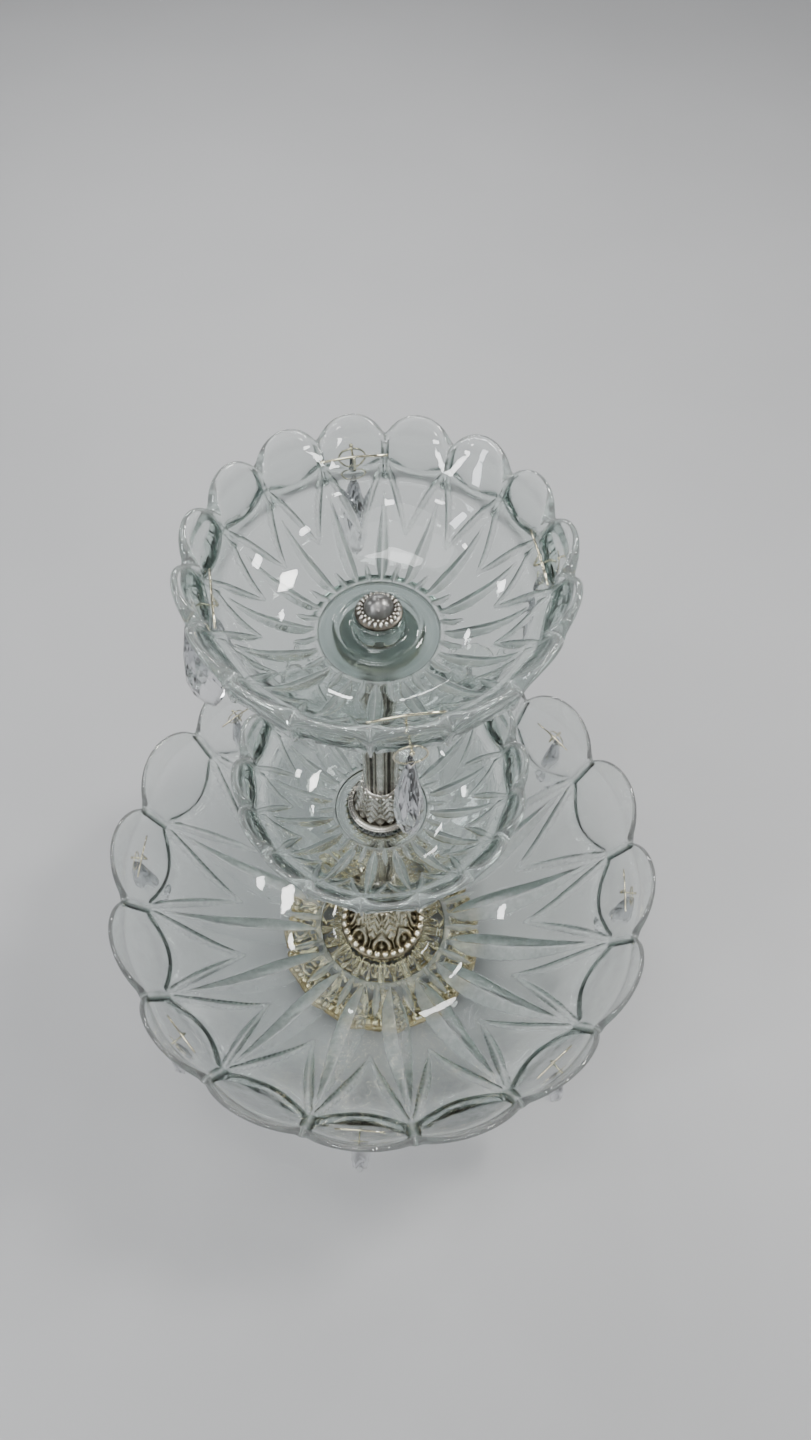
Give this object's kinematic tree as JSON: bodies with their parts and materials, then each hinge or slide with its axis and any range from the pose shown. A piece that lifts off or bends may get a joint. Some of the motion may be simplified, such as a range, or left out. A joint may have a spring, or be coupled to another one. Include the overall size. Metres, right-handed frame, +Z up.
{
  "type": "tiered cake stand",
  "caption": "Tiered cake stand: scalloped pressed-glass bowls stacked on a fluted metal stem with bell collars, a pierced foot and hanging crystal drops.",
  "frame": {"origin": "centre of the stem's axis on the table, under the feet", "axes": "+Z up the stem; -Y faces the viewer; +X to the viewer's right"},
  "size_m": [0.3094, 0.3094, 0.4043],
  "materials": {
    "clear_glass": "clear pressed glass",
    "crystal": "clear faceted crystal",
    "antique_silver": "antique silver plate, dark in the recesses",
    "gilt_casting": "warm cast metal, dark in the recesses",
    "plated_steel": "plain plated steel",
    "hanger_wire": "pale bright wire",
    "soft_washer": "translucent pale plastic"
  },
  "bodies": {
    "stem": {"base_casting": "gilt_casting", "base_washer": "plated_steel", "base_nut": "plated_steel", "center_rod": "plated_steel", "base_gasket": "soft_washer", "lower_collar_gasket": "soft_washer", "lower_collar": "antique_silver", "lower_column": "antique_silver", "middle_seat": "antique_silver", "middle_gasket": "soft_washer", "upper_collar_gasket": "soft_washer", "upper_collar": "antique_silver", "upper_column": "antique_silver", "top_seat": "antique_silver", "top_gasket": "soft_washer"},
    "large_tier": {"large_bowl": "clear_glass", "bottom_hanger_pins": "hanger_wire"},
    "middle_tier": {"middle_bowl": "clear_glass"},
    "top_tier": {"top_bowl": "clear_glass", "top_hanger_pins": "hanger_wire"},
    "washer": {"knob_washer": "soft_washer"},
    "knob": {"top_knob": "antique_silver"},
    "top_ring_1": {"top_ring_1": "hanger_wire"},
    "top_drop_1": {"top_drop_1": "crystal"},
    "top_ring_2": {"top_ring_2": "hanger_wire"},
    "top_drop_2": {"top_drop_2": "crystal"},
    "top_ring_3": {"top_ring_3": "hanger_wire"},
    "top_drop_3": {"top_drop_3": "crystal"},
    "top_ring_4": {"top_ring_4": "hanger_wire"},
    "top_drop_4": {"top_drop_4": "crystal"},
    "bottom_ring_1": {"bottom_ring_1": "hanger_wire"},
    "bottom_drop_1": {"bottom_drop_1": "crystal"},
    "bottom_ring_2": {"bottom_ring_2": "hanger_wire"},
    "bottom_drop_2": {"bottom_drop_2": "crystal"},
    "bottom_ring_3": {"bottom_ring_3": "hanger_wire"},
    "bottom_drop_3": {"bottom_drop_3": "crystal"},
    "bottom_ring_4": {"bottom_ring_4": "hanger_wire"},
    "bottom_drop_4": {"bottom_drop_4": "crystal"},
    "bottom_ring_5": {"bottom_ring_5": "hanger_wire"},
    "bottom_drop_5": {"bottom_drop_5": "crystal"},
    "bottom_ring_6": {"bottom_ring_6": "hanger_wire"},
    "bottom_drop_6": {"bottom_drop_6": "crystal"},
    "bottom_ring_7": {"bottom_ring_7": "hanger_wire"},
    "bottom_drop_7": {"bottom_drop_7": "crystal"},
    "bottom_ring_8": {"bottom_ring_8": "hanger_wire"},
    "bottom_drop_8": {"bottom_drop_8": "crystal"}
  },
  "joints": [
    {"name": "large_tier_turn", "type": "hinge", "parent": "stem", "child": "large_tier", "pos_m": [0, 0, 0.0412], "axis": [0, 0, 1], "continuous": true},
    {"name": "middle_tier_turn", "type": "hinge", "parent": "stem", "child": "middle_tier", "pos_m": [0, 0, 0.2126], "axis": [0, 0, 1], "continuous": true},
    {"name": "top_tier_turn", "type": "hinge", "parent": "stem", "child": "top_tier", "pos_m": [0, 0, 0.363], "axis": [0, 0, 1], "continuous": true},
    {"name": "knob_lift", "type": "slide", "parent": "stem", "child": "washer", "axis": [0, 0, 1], "range_m": [0, 0.00401]},
    {"name": "knob_turn", "type": "hinge", "parent": "washer", "child": "knob", "pos_m": [0, 0, 0.3718], "axis": [0, 0, 1], "range_deg": [0, 1440]},
    {"name": "top_ring_1_swing", "type": "hinge", "parent": "top_tier", "child": "top_ring_1", "pos_m": [0.06562, 0.01305, 0.388], "axis": [0.9808, 0.1951, 0], "range_deg": [-40, 40]},
    {"name": "top_drop_1_swing", "type": "hinge", "parent": "top_ring_1", "child": "top_drop_1", "pos_m": [0.06562, 0.01305, 0.37775], "axis": [0.1951, -0.9808, 0], "range_deg": [-20, 60]},
    {"name": "top_ring_2_swing", "type": "hinge", "parent": "top_tier", "child": "top_ring_2", "pos_m": [-0.01305, 0.06562, 0.388], "axis": [-0.1951, 0.9808, 0], "range_deg": [-40, 40]},
    {"name": "top_drop_2_swing", "type": "hinge", "parent": "top_ring_2", "child": "top_drop_2", "pos_m": [-0.01305, 0.06562, 0.37775], "axis": [0.9808, 0.1951, 0], "range_deg": [-20, 60]},
    {"name": "top_ring_3_swing", "type": "hinge", "parent": "top_tier", "child": "top_ring_3", "pos_m": [-0.06562, -0.01305, 0.388], "axis": [-0.9808, -0.1951, 0], "range_deg": [-40, 40]},
    {"name": "top_drop_3_swing", "type": "hinge", "parent": "top_ring_3", "child": "top_drop_3", "pos_m": [-0.06562, -0.01305, 0.37775], "axis": [-0.1951, 0.9808, 0], "range_deg": [-20, 60]},
    {"name": "top_ring_4_swing", "type": "hinge", "parent": "top_tier", "child": "top_ring_4", "pos_m": [0.01305, -0.06562, 0.388], "axis": [0.1951, -0.9808, 0], "range_deg": [-40, 40]},
    {"name": "top_drop_4_swing", "type": "hinge", "parent": "top_ring_4", "child": "top_drop_4", "pos_m": [0.01305, -0.06562, 0.37775], "axis": [-0.9808, -0.1951, 0], "range_deg": [-20, 60]},
    {"name": "bottom_ring_1_swing", "type": "hinge", "parent": "large_tier", "child": "bottom_ring_1", "pos_m": [0.14646, -0.00652, 0.1177], "axis": [0.999, -0.0445, 0], "range_deg": [-40, 40]},
    {"name": "bottom_drop_1_swing", "type": "hinge", "parent": "bottom_ring_1", "child": "bottom_drop_1", "pos_m": [0.14646, -0.00652, 0.10745], "axis": [-0.0445, -0.999, 0], "range_deg": [-20, 60]},
    {"name": "bottom_ring_2_swing", "type": "hinge", "parent": "large_tier", "child": "bottom_ring_2", "pos_m": [0.10817, 0.09895, 0.1177], "axis": [0.7379, 0.6749, 0], "range_deg": [-40, 40]},
    {"name": "bottom_drop_2_swing", "type": "hinge", "parent": "bottom_ring_2", "child": "bottom_drop_2", "pos_m": [0.10817, 0.09895, 0.10745], "axis": [0.6749, -0.7379, 0], "range_deg": [-20, 60]},
    {"name": "bottom_ring_3_swing", "type": "hinge", "parent": "large_tier", "child": "bottom_ring_3", "pos_m": [0.00652, 0.14646, 0.1177], "axis": [0.0445, 0.999, 0], "range_deg": [-40, 40]},
    {"name": "bottom_drop_3_swing", "type": "hinge", "parent": "bottom_ring_3", "child": "bottom_drop_3", "pos_m": [0.00652, 0.14646, 0.10745], "axis": [0.999, -0.0445, 0], "range_deg": [-20, 60]},
    {"name": "bottom_ring_4_swing", "type": "hinge", "parent": "large_tier", "child": "bottom_ring_4", "pos_m": [-0.09895, 0.10817, 0.1177], "axis": [-0.6749, 0.7379, 0], "range_deg": [-40, 40]},
    {"name": "bottom_drop_4_swing", "type": "hinge", "parent": "bottom_ring_4", "child": "bottom_drop_4", "pos_m": [-0.09895, 0.10817, 0.10745], "axis": [0.7379, 0.6749, 0], "range_deg": [-20, 60]},
    {"name": "bottom_ring_5_swing", "type": "hinge", "parent": "large_tier", "child": "bottom_ring_5", "pos_m": [-0.14646, 0.00652, 0.1177], "axis": [-0.999, 0.0445, 0], "range_deg": [-40, 40]},
    {"name": "bottom_drop_5_swing", "type": "hinge", "parent": "bottom_ring_5", "child": "bottom_drop_5", "pos_m": [-0.14646, 0.00652, 0.10745], "axis": [0.0445, 0.999, 0], "range_deg": [-20, 60]},
    {"name": "bottom_ring_6_swing", "type": "hinge", "parent": "large_tier", "child": "bottom_ring_6", "pos_m": [-0.10817, -0.09895, 0.1177], "axis": [-0.7379, -0.6749, 0], "range_deg": [-40, 40]},
    {"name": "bottom_drop_6_swing", "type": "hinge", "parent": "bottom_ring_6", "child": "bottom_drop_6", "pos_m": [-0.10817, -0.09895, 0.10745], "axis": [-0.6749, 0.7379, 0], "range_deg": [-20, 60]},
    {"name": "bottom_ring_7_swing", "type": "hinge", "parent": "large_tier", "child": "bottom_ring_7", "pos_m": [-0.00652, -0.14646, 0.1177], "axis": [-0.0445, -0.999, 0], "range_deg": [-40, 40]},
    {"name": "bottom_drop_7_swing", "type": "hinge", "parent": "bottom_ring_7", "child": "bottom_drop_7", "pos_m": [-0.00652, -0.14646, 0.10745], "axis": [-0.999, 0.0445, 0], "range_deg": [-20, 60]},
    {"name": "bottom_ring_8_swing", "type": "hinge", "parent": "large_tier", "child": "bottom_ring_8", "pos_m": [0.09895, -0.10817, 0.1177], "axis": [0.6749, -0.7379, 0], "range_deg": [-40, 40]},
    {"name": "bottom_drop_8_swing", "type": "hinge", "parent": "bottom_ring_8", "child": "bottom_drop_8", "pos_m": [0.09895, -0.10817, 0.10745], "axis": [-0.7379, -0.6749, 0], "range_deg": [-20, 60]}
  ],
  "couplings": [
    {"joint": "knob_lift", "follows": "knob_turn", "m_per_rad": 0.00015915}
  ]
}
